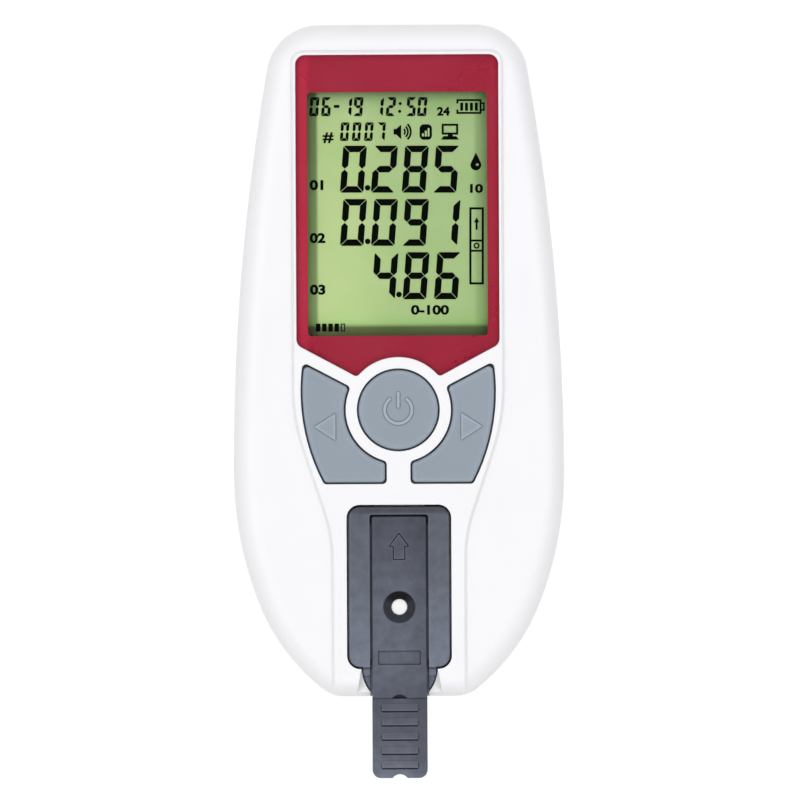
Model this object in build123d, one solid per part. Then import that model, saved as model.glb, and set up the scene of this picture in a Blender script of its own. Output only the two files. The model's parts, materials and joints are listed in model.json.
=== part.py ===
from build123d import *
import math
import os

# Hand-held renal function analyzer with its test strip in place, lying on its back.
# X is the width, Y runs from the strip's handle up to the top of the screen, Z points out of the screen.
# All sizes are in millimetres. The origin is the middle of the overall plan, on the table.

# Lengths along the body, from its top down to its lower end
top_margin = 6.25
bezel_top_border = 7.65
window_length = 49.6
bezel_low_border = 1.8
key_drop = 13.3
side_key_reach = 15.1
key_tray_gap = 4.2
tray_length = 33.45
end_margin = 5.65
handle_reach = 16.6
screen_length = top_margin + bezel_top_border + window_length + bezel_low_border
body_length = screen_length + key_drop + side_key_reach + key_tray_gap + tray_length + end_margin
body_top = (body_length + handle_reach) / 2
body_end = body_top - body_length
handle_end = body_end - handle_reach
bezel_top = body_top - top_margin
window_high = bezel_top - bezel_top_border
window_low = window_high - window_length
bezel_shoulder_y = window_low - bezel_low_border
key_centre_y = bezel_shoulder_y - key_drop
side_key_low_y = key_centre_y - side_key_reach
tray_top = side_key_low_y - key_tray_gap
tray_end = tray_top - tray_length

# Battery bay with four AAA cells side by side
cell_radius = 5.25
cell_length = 44.5
cell_nub_radius = 1.9
cell_nub = 0.8
cell_pitch = 11.0
cell_count = 4
cell_floor_gap = 0.3
contact_thickness = 0.5
contact_half = 4.4
contact_tab_half = 1.0
contact_slot_gap = 0.15
spring_length = 3.5
spring_wire = 0.6
spring_base_radius = 3.2
spring_tip_radius = 1.7
spring_turns = 3
spring_seat_gap = 0.02
bay_side_gap = 0.15
bay_wall = 1.5
bay_end_wall = 1.5
bay_roof = 1.0
bay_roof_gap = 0.3
bay_rib = 1.0
bay_rib_lift = 3.0
bay_drop = 7.5
bay_half = (cell_count - 1) / 2 * cell_pitch + cell_radius + bay_side_gap
bay_low_y = bezel_shoulder_y - bay_drop
bay_high_y = bay_low_y + 2 * contact_thickness + spring_length + cell_length

# Circuit board and its screws
board_thickness = 1.6
board_screw_radius = 0.95
board_screw_head_radius = 1.8
board_screw_head_height = 1.2
board_screw_length = 5.5
board_hole_clearance = 0.2
board_screw_bay_gap = 0.4
board_screw_inset = 6.0
board_post_radius = 2.6
board_edge = 1.9
board_notch_depth = 5.0
board_notch_length = 27.0
board_top_gap = 0.25
board_low_gap = 1.1
board_optic_reach = 8.85
board_tab_half = 6.5
board_tab_gap = 1.2
board_screw_x = bay_half + bay_wall + board_screw_bay_gap + board_screw_head_radius
board_half = board_screw_x + board_edge
board_half_upper = board_half - board_notch_depth
board_low_y = side_key_low_y - board_low_gap

# Body outline, a chain of tangent arcs mirrored about the centre line
side_room = 6.2
widest_from_end = 45.8
shoulder_radius = 10.8
side_radius = 475.0
flank_radius = 74.0
hip_angle = 21.0
hip_radius = 42.0
heel_radius = 7.0
half_width = board_half + side_room
widest_y = body_end + widest_from_end

# Shell walls
wall = 2.0
front_round = 5.0
back_round = 5.0
seam_chamfer = 0.3
lip_height = 1.2
lip_thickness = 0.85
lip_clearance = 0.12
lower_shell_depth = 10.7
console_step = 0.6

# Display stack, from the board up to the face of the console
board_roof_gap = 0.4
backlight_thickness = 3.2
glass_thickness = 2.2
screen_drop = 2.0
print_thickness = 0.2
lens_thickness = 1.2
lens_drop = 0.1
lens_gap = 0.08
frame_wall = 0.9
frame_gap = 0.15
frame_lip = 0.5
frame_lip_cover = 0.9
frame_head_gap = 0.2
window_half = 18.3
window_corner = 0.7
ledge_reveal = 0.8
glass_margin_x = 1.9
glass_margin_y = 2.8
connector_width = 1.9
connector_inset = 0.4
connector_end_inset = 2.0
backlight_gap = 0.3

# Heights above the table
foot_height = 0.8
back_z = foot_height
split_z = back_z + lower_shell_depth
floor_z = back_z + wall
cell_z = floor_z + cell_floor_gap + cell_radius
roof_z = cell_z + cell_radius + bay_roof_gap
roof_top_z = roof_z + bay_roof
board_bottom_z = roof_top_z + board_roof_gap
board_top_z = board_bottom_z + board_thickness
backlight_top_z = board_top_z + backlight_thickness
glass_top_z = backlight_top_z + glass_thickness
inner_top_z = glass_top_z + frame_lip + frame_head_gap
print_z = glass_top_z + screen_drop
console_z = print_z + print_thickness + lens_thickness + lens_drop
wing_z = console_z - console_step

# Bezel with its chevron foot, which makes room for the round key
bezel_side_border = 2.4
bezel_slope = 28.2
bezel_corner = 2.0
bezel_tip_round = 0.9
bezel_half = window_half + bezel_side_border

# Raised console that carries the screen, the keys and the strip holder
console_rim = 0.9
console_corner = 2.6
console_edge = 0.5
console_upper_blend = 40.0
console_lower_blend = 30.0
console_waist_drop = 1.8
console_waist_reach = 6.3
console_foot_margin = 3.05

# Keys
power_key_radius = 8.46
key_land = 2.25
key_gap = 0.38
key_proud = 0.5
key_travel = 0.5
key_edge_round = 0.7
key_flange = 0.7
key_flange_thickness = 0.8
key_flange_drop = 0.2
side_key_inset = 0.8
side_key_curve = 40.1
side_key_curve_rise = 3.75
side_key_bezel_gap = 3.2
side_key_slope = 27.7
side_key_inner = 2.4
side_key_corner = 0.9
icon_height = 0.3
ring_icon_radius = 3.05
ring_icon_width = 0.55
ring_icon_gap = 34.0
bar_icon_low = 0.45
bar_icon_high = 3.6
triangle_inset = 2.8
triangle_length = 4.3
triangle_half = 2.75
triangle_drop = 3.4
switch_inset = 5.7
switch_side = 6.2
plunger_radius = 1.7
plunger_length = 2.4
plunger_reach = 1.2
plunger_clearance = 0.08
stem_radius = 2.3
stem_length = 0.4
ring_radius = power_key_radius + key_land
side_key_outer = bezel_half - side_key_inset
side_key_top_y = bezel_shoulder_y - side_key_bezel_gap
side_key_curve_y = key_centre_y + side_key_curve_rise
triangle_tip = side_key_outer - triangle_inset
triangle_base = triangle_tip - triangle_length
triangle_centre_y = key_centre_y - triangle_drop
side_switch_x = side_key_outer - switch_inset
key_top_z = console_z + key_proud
flange_top_z = inner_top_z - key_flange_drop
flange_low_z = flange_top_z - key_flange_thickness
plunger_top_z = flange_low_z - stem_length
switch_top_z = plunger_top_z - plunger_reach

# Test strip
strip_half = 5.55
strip_flange = 0.3
strip_inset = 0.4
strip_corner = 0.5
strip_sink = 0.3
strip_cover_thickness = 1.9
strip_base_thickness = 1.6
strip_clearance = 0.1
cover_overhang = 0.35
cover_edge_chamfer = 0.2
arrow_inset = 3.55
arrow_head_length = 2.45
arrow_length = 5.1
arrow_head_half = 1.8
arrow_shaft_half = 1.07
arrow_height = 0.15
arrow_groove = 0.2
arrow_groove_depth = 0.25
well_inset = 18.45
well_rim_radius = 3.37
well_radius = 1.6
well_throat = 0.3
label_half = 4.4
label_length = 2.95
label_inset = 6.8
label_depth = 0.45
label_corner = 0.35
handle_flare = 0.05
handle_thickness = 2.7
handle_corner = 1.7
handle_edge = 0.35
thumb_notch_radius = 1.9
thumb_notch_depth = 0.78
rib_count = 5
rib_inset = 1.15
rib_pitch = 2.9
rib_width = 1.4
rib_half = 3.65
rib_height = 0.5
rib_start_height = 0.06
rib_groove = 0.3
rib_groove_depth = 0.3
pad_half = 3.4
pad_thickness = 0.5
pad_clearance = 0.05
read_hole_radius = 2.4

# Strip holder, hooked in at its upper edge, and the tray that it lies in
channel_side_gap = 0.15
channel_inset = 2.0
channel_corner = 0.6
holder_side = 4.27
holder_gap = 0.4
holder_seat_gap = 0.2
holder_floor = 1.2
holder_edge_round = 0.5
holder_foot_chamfer = 0.8
rail_height = 0.8
rail_clearance = 0.1
rail_end_room = 2.0
lug_x = 6.6
lug_width = 3.2
lug_reach = 1.1
lug_thickness = 0.8
lug_drop = 0.2
ear_width = 1.45
ear_gap = 0.3
tongue_rise = 0.2
tongue_drop = 2.3
ear_facet = 1.8
tongue_step = 0.35
notch_gap = 0.35
notch_flare = 1.0
notch_depth = 2.2
strip_pass_gap = 0.15
aperture_radius = 3.3
tray_corner = 2.7
tray_wall = 1.5
tray_floor_thickness = 1.5
flange_half = strip_half + strip_flange
channel_half = flange_half + channel_side_gap
tray_half = channel_half + holder_side + holder_gap
tongue_half = channel_half + ear_width
notch_half_top = tongue_half + notch_gap
notch_half_end = notch_half_top + notch_flare
channel_top = tray_top - channel_inset
strip_top_y = channel_top - strip_inset
well_y = strip_top_y - well_inset
cover_end_y = body_end - cover_overhang
tongue_centre_y = tray_end + tongue_rise
board_end_y = well_y - board_optic_reach
strip_top_z = console_z - strip_sink
strip_joint_z = strip_top_z - strip_cover_thickness
strip_bottom_z = strip_joint_z - strip_base_thickness
channel_floor_z = strip_bottom_z - strip_clearance
holder_bottom_z = channel_floor_z - holder_floor
tray_floor_z = holder_bottom_z - holder_seat_gap
tray_bottom_z = tray_floor_z - tray_floor_thickness

# Optics, chips, data port and buzzer on the board
optic_radius = 5.6
optic_opening_gap = 0.6
optic_top_gap = 0.2
optic_wall = 1.3
optic_window_radius = 3.9
optic_window_thickness = 0.8
optic_window_clearance = 0.05
optic_collar = 0.8
led_radius = 0.9
led_height = 1.1
led_circle = 2.9
led_count = 3
diode_side = 2.0
diode_height = 0.9
chip_height = 1.4
processor_side = 10.0
processor_drop = 5.7
amplifier_side = 4.0
amplifier_x = 9.6
radio_width = 12.0
radio_length = 15.0
radio_height = 2.2
radio_inset = 10.5
radio_drop = 5.2
port_width = 7.5
port_height = 2.5
port_length = 5.6
port_wall = 0.3
port_recess = 1.4
port_clearance = 0.35
port_tongue_width = 5.4
port_tongue_height = 0.6
port_tongue_length = 4.2
buzzer_drop = 9.2
buzzer_radius = 6.0
buzzer_height = 4.5
buzzer_hole_radius = 1.0
grille_hole_radius = 0.6
grille_circle = 3.0
grille_count = 6
board_top_y = window_high + glass_margin_y + frame_gap + frame_wall + board_top_gap
board_wide_top = board_top_y - board_notch_length
board_tab_end = body_top - wall - board_tab_gap
buzzer_y = key_centre_y - buzzer_drop

# Battery door, hooked in at its lower end
door_thickness = 1.8
door_side_cover = 1.0
door_low_inset = 2.6
door_high_reach = 5.5
door_gap = 0.2
door_ledge = 1.2
door_ledge_width = 1.5
door_corner = 1.5
door_rest_gap = 0.1
hook_width = 2.4
hook_thickness = 1.0
hook_reach = 1.6
hook_root = 0.8
hook_lift = 0.1
latch_half = 5.0
latch_leaf = 1.0
latch_room = 0.8
latch_window = 3.0
latch_side_gap = 0.4
latch_height = 4.4
latch_nose = 1.0
latch_nose_gap = 0.25
grip_rib_count = 4
grip_rib_pitch = 1.8
grip_rib_half = 7.0
grip_rib_width = 0.8
grip_rib_depth = 0.4
grip_inset = 8.0
door_half = bay_half + door_side_cover
door_low_y = bay_low_y + door_low_inset
door_high_y = bay_high_y + door_high_reach
door_top_z = back_z + door_thickness
latch_low_y = bay_high_y + bay_end_wall

# Feet and case screws
foot_radius = 3.0
foot_seat = 0.6
foot_clearance = 0.1
foot_chamfer = 0.2
foot_door_gap = 2.3
upper_foot_x = 19.0
lower_foot_x = 12.0
lower_foot_rise = 10.2
screw_post_radius = 3.0
screw_boss_radius = 3.7
screw_radius = 1.15
screw_head_radius = 2.3
screw_head_height = 1.7
screw_length = 11.0
screw_seat = 4.0
screw_clearance = 0.25
thread_clearance = 0.03
bore_room = 0.8
screw_post_gap = 0.3
upper_screw_x = 15.5
lower_screw_room = 6.95
lower_screw_rise = 22.2
board_screw_side_gap = 2.5
socket_half = 1.1
socket_arm = 0.32
socket_depth = 0.7
screw_seat_z = back_z + screw_seat
screw_tip_z = screw_seat_z + screw_length
board_screw_tip_z = board_bottom_z + board_screw_length
upper_foot_y = door_high_y + door_gap + foot_radius + foot_door_gap
upper_screw_y = board_top_y + screw_post_radius + screw_post_gap
lower_screw_x = tray_half + tray_wall + lower_screw_room
board_half_lower = lower_screw_x - screw_post_radius - board_screw_side_gap


def prism(face, low, high):
    """A plan swept straight up from one height to another."""
    return extrude(Pos(0, 0, low) * face, amount=high - low, dir=(0, 0, 1))


def block(x0, x1, y0, y1, z0, z1):
    """A box between two corners."""
    return Pos((x0 + x1) / 2, (y0 + y1) / 2, (z0 + z1) / 2) * Box(x1 - x0, y1 - y0, z1 - z0)


def rod(x, y, radius, low, high):
    """An upright cylinder."""
    return Pos(x, y, (low + high) / 2) * Cylinder(radius, high - low)


def rounded_plan(half, low_y, high_y, corner):
    """A rectangle with round corners, centred on the centre line."""
    return Pos(0, (low_y + high_y) / 2) * RectangleRounded(2 * half, high_y - low_y, corner)


def centred_plan(half, low_y, high_y):
    """A rectangle centred on the centre line."""
    return Pos(0, (low_y + high_y) / 2) * Rectangle(2 * half, high_y - low_y)


def at(centre, radius, degrees):
    """A point on a circle in plan."""
    turn = math.radians(degrees)
    return centre[0] + radius * math.cos(turn), centre[1] + radius * math.sin(turn)


def arc(centre, radius, start, end):
    """An arc of a circle in plan, between two angles in degrees."""
    middle = (start + end) / 2
    return ThreePointArc(at(centre, radius, start), at(centre, radius, middle), at(centre, radius, end))


def tangent_centre(outer_centre, outer_radius, inner_radius, y):
    """Centre of a smaller circle that touches a larger one from inside, at a given height in plan."""
    reach = outer_radius - inner_radius
    return outer_centre[0] + math.sqrt(reach**2 - (y - outer_centre[1]) ** 2), y


def angle_between(low, high):
    """Direction from one point in plan to another, in degrees."""
    return math.degrees(math.atan2(high[1] - low[1], high[0] - low[0]))


def board_screw_places():
    """Places of the four screws that hold the board to the front shell."""
    ys = (board_wide_top - board_screw_inset, board_low_y + board_screw_inset)
    return [(side * board_screw_x, y) for side in (-1, 1) for y in ys]


def case_screw_places():
    """Places of the four screws that join the shells."""
    upper = [(side * upper_screw_x, upper_screw_y) for side in (-1, 1)]
    return upper + [(side * lower_screw_x, body_end + lower_screw_rise) for side in (-1, 1)]


def foot_places():
    """Places of the four feet."""
    upper = [(side * upper_foot_x, upper_foot_y) for side in (-1, 1)]
    return upper + [(side * lower_foot_x, body_end + lower_foot_rise) for side in (-1, 1)]


def body_plan(inset):
    """The body's outline, moved inwards by an inset."""
    side = (half_width - side_radius, widest_y)
    shoulder = tangent_centre(side, side_radius, shoulder_radius, body_top - shoulder_radius)
    flank = (half_width - flank_radius, widest_y)
    hip = at(flank, flank_radius - hip_radius, -hip_angle)
    heel = tangent_centre(hip, hip_radius, heel_radius, body_end + heel_radius)
    shoulder_turn = angle_between(side, shoulder)
    heel_turn = angle_between(hip, heel)
    right = [
        Line((0, body_top - inset), (shoulder[0], body_top - inset)),
        arc(shoulder, shoulder_radius - inset, 90, shoulder_turn),
        arc(side, side_radius - inset, shoulder_turn, 0),
        arc(flank, flank_radius - inset, 0, -hip_angle),
        arc(hip, hip_radius - inset, -hip_angle, heel_turn),
        arc(heel, heel_radius - inset, heel_turn, -90),
        Line((heel[0], body_end + inset), (0, body_end + inset)),
    ]
    left = [mirror(edge, about=Plane.YZ) for edge in right]
    return make_face(right + left)


def console_plan():
    """Plan of the raised console, from just above the bezel to past the body's lower end."""
    half = bezel_half + console_rim
    top = bezel_top + console_rim
    foot_half = tray_half + console_foot_margin
    past_end = body_end - console_corner - 1
    right = FilletPolyline(
        (0, top),
        (half, top),
        (half, key_centre_y - console_waist_drop),
        (foot_half, tray_top - console_waist_reach),
        (foot_half, past_end),
        (0, past_end),
        radius=[console_corner, console_upper_blend, console_lower_blend, console_corner],
    )
    return make_face(right.edges() + mirror(right, about=Plane.YZ).edges())


def bezel_plan(inset):
    """Outline of the lens and its bezel: straight sides, a chevron foot and a bay round the power key."""
    half = bezel_half - inset
    fall = math.tan(math.radians(bezel_slope))
    rise = inset / math.cos(math.radians(bezel_slope))
    shoulder = bezel_shoulder_y - inset * fall + rise
    foot = bezel_shoulder_y - bezel_half * fall + rise
    top = bezel_top - inset
    corners = ((-half, top), (half, top), (half, shoulder), (0, foot), (-half, shoulder))
    plate = make_face(Polyline(*corners, close=True))
    plate = plate - Pos(0, key_centre_y) * Circle(ring_radius + inset)
    by_height = plate.vertices().group_by(Axis.Y)
    plate = fillet(by_height[0], bezel_tip_round)
    side_points = [point for point in plate.vertices() if abs(abs(point.X) - half) < wall / 100]
    return fillet(ShapeList(side_points), bezel_corner)


def side_key_plan(inset):
    """Outline of the right-hand key, which wraps the round key."""
    fall = math.tan(math.radians(side_key_slope))
    sink = inset / math.cos(math.radians(side_key_slope))
    outer = side_key_outer - inset
    inner = side_key_inner + inset
    low = side_key_low_y + inset
    top_outer = side_key_top_y - sink - inset * fall
    top_inner = side_key_top_y - sink - (side_key_outer - inner) * fall
    corners = ((outer, top_outer), (inner, top_inner), (inner, low), (outer, low))
    plate = make_face(Polyline(*corners, close=True))
    plate = plate & Pos(side_key_outer - side_key_curve, side_key_curve_y) * Circle(side_key_curve - inset)
    plate = plate - Pos(0, key_centre_y) * Circle(ring_radius + inset)
    return fillet(plate.vertices(), side_key_corner)


def notch_plan():
    """Plan of the shallow recess in the lower end, round the opening for the strip and the tongue."""
    past_end = body_end - 1
    flare = (notch_half_end - notch_half_top) / (tray_end - body_end)
    end_half = notch_half_end + flare
    inside = tray_end + tray_corner
    return make_face(
        Polyline(
            (-notch_half_top, inside),
            (notch_half_top, inside),
            (notch_half_top, tray_end),
            (end_half, past_end),
            (-end_half, past_end),
            (-notch_half_top, tray_end),
            close=True,
        )
    )


def tongue_opening():
    """Plan of the opening in the lower end, through which the strip and the holder's tongue pass."""
    past_end = body_end - tongue_half
    ears = Pos(0, tongue_centre_y) * Circle(tongue_half + ear_gap)
    return ears + centred_plan(flange_half + strip_pass_gap, past_end, tongue_centre_y)


def rounded_body(low, high, inset, round_high, radius):
    """The body's outline as a solid, with its front or back edge rounded."""
    solid = prism(body_plan(inset), low, high)
    rim = solid.edges().group_by(Axis.Z)[-1 if round_high else 0]
    return fillet(rim, radius)


def upper_outside():
    """Outside of the front shell: two wings and the raised console between them."""
    wings = rounded_body(split_z, wing_z, 0, True, front_round)
    raised = rounded_body(split_z, console_z, 0, True, front_round)
    console = raised & prism(console_plan(), split_z, console_z + 1)
    top_face = console.faces().sort_by(Axis.Z)[-1]
    console = chamfer(top_face.edges(), console_edge)
    outside = wings + console
    seam = outside.edges().group_by(Axis.Z)[0]
    return chamfer(seam, seam_chamfer)


def key_openings():
    """The three key holes in the front shell."""
    side = prism(side_key_plan(0), inner_top_z - 1, console_z + 1)
    centre = rod(0, key_centre_y, power_key_radius, inner_top_z - 1, console_z + 1)
    return centre + side + mirror(side, about=Plane.YZ)


def holder_tray():
    """Tray under the strip holder, hanging from the front wall, with its floor run out to the lower end."""
    half = tray_half + tray_wall
    outer = rounded_plan(half, tray_end - tray_wall, tray_top + tray_wall, tray_corner + tray_wall)
    tray = prism(outer, tray_bottom_z, inner_top_z)
    half = notch_half_end + tray_wall
    porch = block(-half, half, body_end + wall / 2, tray_end, tray_bottom_z, inner_top_z)
    return tray + porch


def tray_hollow():
    """What is cut from the tray: the recess, the notch, the hinge lugs' pockets and the optic opening."""
    recess = prism(rounded_plan(tray_half, tray_end, tray_top, tray_corner), tray_floor_z, console_z + 1)
    notch = prism(tongue_opening(), tray_floor_z, console_z + 1)
    notch += prism(notch_plan(), console_z - notch_depth, console_z + 1)
    optic = rod(0, well_y, optic_radius + optic_opening_gap, tray_bottom_z - 1, tray_floor_z + 1)
    cut = recess + notch + optic
    room = 2 * lug_drop
    for side in (-1, 1):
        x = side * lug_x
        reach = lug_width / 2 + holder_gap
        low = inner_top_z - lug_drop - lug_thickness - room
        cut += block(x - reach, x + reach, tray_top - 1, tray_top + lug_reach + holder_gap, low, inner_top_z)
    return cut


def port_opening():
    """Slot for the data plug in the top wall."""
    half = port_width / 2 + port_clearance
    low = board_top_z - port_clearance
    high = board_top_z + port_height + port_clearance
    middle = (low + high) / 2
    slot = Plane.XZ * Pos(0, middle) * RectangleRounded(2 * half, high - low, port_clearance * 2)
    tunnel = extrude(slot, amount=-(body_top + 1))
    return tunnel - block(-half - 1, half + 1, 0, body_top - 2 * wall, 0, console_z)


def lip_groove():
    """Groove in the front shell's rim for the rear shell's lip."""
    plan = body_plan(wall - lip_thickness - lip_clearance)
    groove = prism(plan, split_z - 1, split_z + lip_height + lip_clearance)
    return groove - prism(body_plan(wall + 1), split_z - 1, console_z)


def upper_shell():
    """White front shell."""
    cavity = rounded_body(split_z - 1, inner_top_z, wall, True, front_round - wall)
    shell = upper_outside() - cavity
    shell += holder_tray() & rounded_body(split_z, wing_z, wall / 2, True, front_round - wall / 2)
    for x, y in case_screw_places():
        shell += rod(x, y, screw_post_radius, split_z, inner_top_z)
    for x, y in board_screw_places():
        shell += rod(x, y, board_post_radius, board_top_z, inner_top_z)
    shell -= tray_hollow()
    shell -= key_openings()
    shell -= prism(bezel_plan(0), print_z, console_z + 1)
    opening = rounded_plan(
        window_half + ledge_reveal, window_low - ledge_reveal, window_high + ledge_reveal, window_corner
    )
    shell -= prism(opening, inner_top_z - 1, console_z)
    shell -= lip_groove()
    for x, y in case_screw_places():
        shell -= rod(x, y, screw_radius + thread_clearance, split_z - 1, screw_tip_z + bore_room)
    for x, y in board_screw_places():
        bore = board_screw_radius + thread_clearance
        shell -= rod(x, y, bore, board_top_z - 1, board_screw_tip_z + bore_room)
    return shell - port_opening()


def lower_shell():
    """White rear shell with the battery bay, the screw bosses, the foot seats and the lip."""
    shell = rounded_body(back_z, split_z, 0, False, back_round)
    shell = chamfer(shell.edges().group_by(Axis.Z)[-1], seam_chamfer)
    lip = prism(body_plan(wall - lip_thickness), split_z - seam_chamfer, split_z + lip_height)
    shell += lip
    shell -= rounded_body(floor_z, split_z + lip_height + 1, wall, False, back_round - wall)
    bay_low = bay_low_y - bay_end_wall
    bay_high = bay_high_y + bay_end_wall
    shell += block(-bay_half - bay_wall, bay_half + bay_wall, bay_low, bay_high, floor_z - 1, roof_top_z)
    rim = door_gap + door_ledge_width
    shell += prism(
        rounded_plan(door_half + rim, bay_high_y, door_high_y + rim, door_corner + rim),
        floor_z - 1,
        door_top_z + door_rest_gap + door_ledge,
    )
    for x, y in case_screw_places():
        shell += rod(x, y, screw_boss_radius, back_z + wall / 2, split_z)
    shell -= block(-bay_half, bay_half, bay_low_y, bay_high_y, floor_z, roof_z)
    shell -= block(-bay_half, bay_half, door_low_y, bay_high_y, 0, floor_z + 1)
    shell += bay_ribs()
    shell -= door_pocket()
    for x, y in case_screw_places():
        shell -= rod(x, y, screw_radius + screw_clearance, 0, split_z + 1)
        shell -= rod(x, y, screw_head_radius + screw_clearance, 0, screw_seat_z)
    for x, y in foot_places():
        shell -= rod(x, y, foot_radius, 0, back_z + foot_seat)
    for y in (bay_low_y, bay_high_y - contact_thickness):
        for x in cell_xs():
            shell -= contact_slot(x, y)
    for x, y in grille_places():
        shell -= rod(x, y, grille_hole_radius, 0, floor_z + 1)
    return shell


def bay_ribs():
    """Fins that hang from the bay's roof between the cells."""
    ribs = []
    half = bay_rib / 2
    for x in cell_gap_xs():
        ribs.append(block(x - half, x + half, bay_low_y, bay_high_y, cell_z + bay_rib_lift, roof_z))
    return ribs


def door_pocket():
    """Space for the battery door in the back, with the window for its latch."""
    corner = door_corner + door_gap
    plan = rounded_plan(door_half + door_gap, door_low_y - door_gap, door_high_y + door_gap, corner)
    pocket = prism(plan, 0, door_top_z + door_rest_gap)
    half = latch_half + latch_side_gap
    return pocket + block(-half, half, latch_low_y, latch_low_y + latch_window, 0, floor_z + door_ledge + 1)


def cell_xs():
    """Places of the cells across the bay."""
    return [(i - (cell_count - 1) / 2) * cell_pitch for i in range(cell_count)]


def cell_gap_xs():
    """Places between neighbouring cells."""
    return [x + cell_pitch / 2 for x in cell_xs()[:-1]]


def contact_slot(x, y):
    """Slot in the bay's roof for a contact's solder tab."""
    half = contact_tab_half + contact_slot_gap
    low_y = y - contact_slot_gap
    high_y = y + contact_thickness + contact_slot_gap
    return block(x - half, x + half, low_y, high_y, roof_z - 1, roof_top_z + 1)


def grille_places():
    """Sound holes under the buzzer: one in the middle and a ring."""
    places = [(0, buzzer_y)]
    for i in range(grille_count):
        places.append(at((0, buzzer_y), grille_circle, 360 * i / grille_count))
    return places


def display_lens():
    """Clear lens over the display and the bezel's print."""
    return prism(bezel_plan(lens_gap), print_z + print_thickness, console_z - lens_drop)


def bezel_print():
    """Red printed film behind the lens, open at the window."""
    film = prism(bezel_plan(lens_gap), print_z, print_z + print_thickness)
    window = rounded_plan(window_half, window_low, window_high, window_corner)
    return film - prism(window, print_z - 1, console_z)


def glass_box(inset_x, inset_y, low, high):
    """A box with the display glass's plan, moved inwards."""
    half = window_half + glass_margin_x - inset_x
    low_y = window_low - glass_margin_y + inset_y
    high_y = window_high + glass_margin_y - inset_y
    return block(-half, half, low_y, high_y, low, high)


def display_glass():
    """Segment display glass."""
    return glass_box(0, 0, backlight_top_z, glass_top_z)


def display_backlight():
    """Light guide under the glass, between the two connectors."""
    return glass_box(0, connector_inset + connector_width + backlight_gap, board_top_z, backlight_top_z)


def display_connectors():
    """Elastomer connectors that join the glass to the board at its upper and lower edge."""
    half = window_half + glass_margin_x - connector_end_inset
    low_y = window_low - glass_margin_y + connector_inset
    high_y = window_high + glass_margin_y - connector_inset
    return [
        block(-half, half, low_y, low_y + connector_width, board_top_z, backlight_top_z),
        block(-half, half, high_y - connector_width, high_y, board_top_z, backlight_top_z),
    ]


def display_frame():
    """Frame that holds the glass and the light guide down on the board."""
    grow = frame_gap + frame_wall
    frame = glass_box(-grow, -grow, board_top_z, glass_top_z + frame_lip)
    frame -= glass_box(-frame_gap, -frame_gap, board_top_z - 1, glass_top_z)
    return frame - glass_box(frame_lip_cover, frame_lip_cover, glass_top_z - 1, console_z)


def key_body(plan, flange_plan, x, y):
    """A key: cap, flange under the front wall, and the stem that meets the switch."""
    cap = prism(plan, flange_low_z, key_top_z)
    cap = fillet(cap.edges().group_by(Axis.Z)[-1], key_edge_round)
    key = cap + prism(flange_plan, flange_low_z, flange_top_z)
    return key + rod(x, y, stem_radius, plunger_top_z, flange_low_z)


def raised_sign(plan):
    """A sign that stands up from a key's face."""
    return prism(plan, key_top_z, key_top_z + icon_height)


def power_key():
    """Round key with a raised power sign: a ring open at the top and a bar."""
    radius = power_key_radius - key_gap
    centre = Pos(0, key_centre_y)
    key = key_body(centre * Circle(radius), centre * Circle(radius + key_flange), 0, key_centre_y)
    sign = centre * (Circle(ring_icon_radius) - Circle(ring_icon_radius - ring_icon_width))
    reach = 2 * ring_icon_radius
    spread = reach * math.tan(math.radians(ring_icon_gap))
    opening = make_face(Polyline((0, 0), (spread, reach), (-spread, reach), close=True))
    sign -= centre * opening
    bar_middle = key_centre_y + (bar_icon_low + bar_icon_high) / 2
    bar = Pos(0, bar_middle) * Rectangle(ring_icon_width, bar_icon_high - bar_icon_low)
    return key + raised_sign(sign) + raised_sign(bar)


def right_key():
    """Right-hand key with a raised triangle."""
    cap_plan = side_key_plan(key_gap)
    flange_plan = side_key_plan(key_gap - key_flange)
    key = key_body(cap_plan, flange_plan, side_switch_x, triangle_centre_y)
    low = triangle_centre_y - triangle_half
    high = triangle_centre_y + triangle_half
    sign = make_face(
        Polyline((triangle_tip, triangle_centre_y), (triangle_base, high), (triangle_base, low), close=True)
    )
    return key + raised_sign(sign)


def left_key():
    """Left-hand key, the mirror image of the right-hand one."""
    return mirror(right_key(), about=Plane.YZ)


def switch_places():
    """Places of the three key switches on the board."""
    return {
        "power": (0, key_centre_y),
        "left": (-side_switch_x, triangle_centre_y),
        "right": (side_switch_x, triangle_centre_y),
    }


def key_switches():
    """Switch housings on the board, each with a bore for its plunger."""
    half = switch_side / 2
    bore_low = plunger_top_z - plunger_length - key_travel - plunger_clearance
    switches = []
    for x, y in switch_places().values():
        switch = block(x - half, x + half, y - half, y + half, board_top_z, switch_top_z)
        switches.append(switch - rod(x, y, plunger_radius + plunger_clearance, bore_low, switch_top_z + 1))
    return switches


def plunger(x, y):
    """Plunger of one key switch."""
    return rod(x, y, plunger_radius, plunger_top_z - plunger_length, plunger_top_z)


def holder_plan(inset):
    """Plan of the strip holder's main part."""
    gap = holder_gap + inset
    return rounded_plan(tray_half - gap, tray_end + gap, tray_top - gap, tray_corner - gap)


def holder_tongue():
    """Tongue of the holder that runs down the notch: two rounded ears with sloping upper facets."""
    half_circle = Pos(0, tongue_centre_y) * Circle(tongue_half)
    root_y = tray_end + holder_gap + holder_edge_round
    ears = prism(half_circle, holder_bottom_z, console_z)
    ears -= block(-half_width, half_width, root_y, body_top, 0, 2 * console_z)
    top = console_z - tongue_drop
    start_y = tray_end + holder_gap
    facet_end = start_y - ear_facet
    past = body_end - tongue_half
    side = Plane.YZ * make_face(
        Polyline(
            (body_top, console_z),
            (start_y, console_z),
            (start_y, top + ear_facet / 2),
            (facet_end, top),
            (facet_end, top - tongue_step),
            (past, top - tongue_step),
            (past, 2 * console_z),
            (body_top, 2 * console_z),
            close=True,
        )
    )
    return ears - extrude(side, amount=2 * half_width, both=True)


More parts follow.
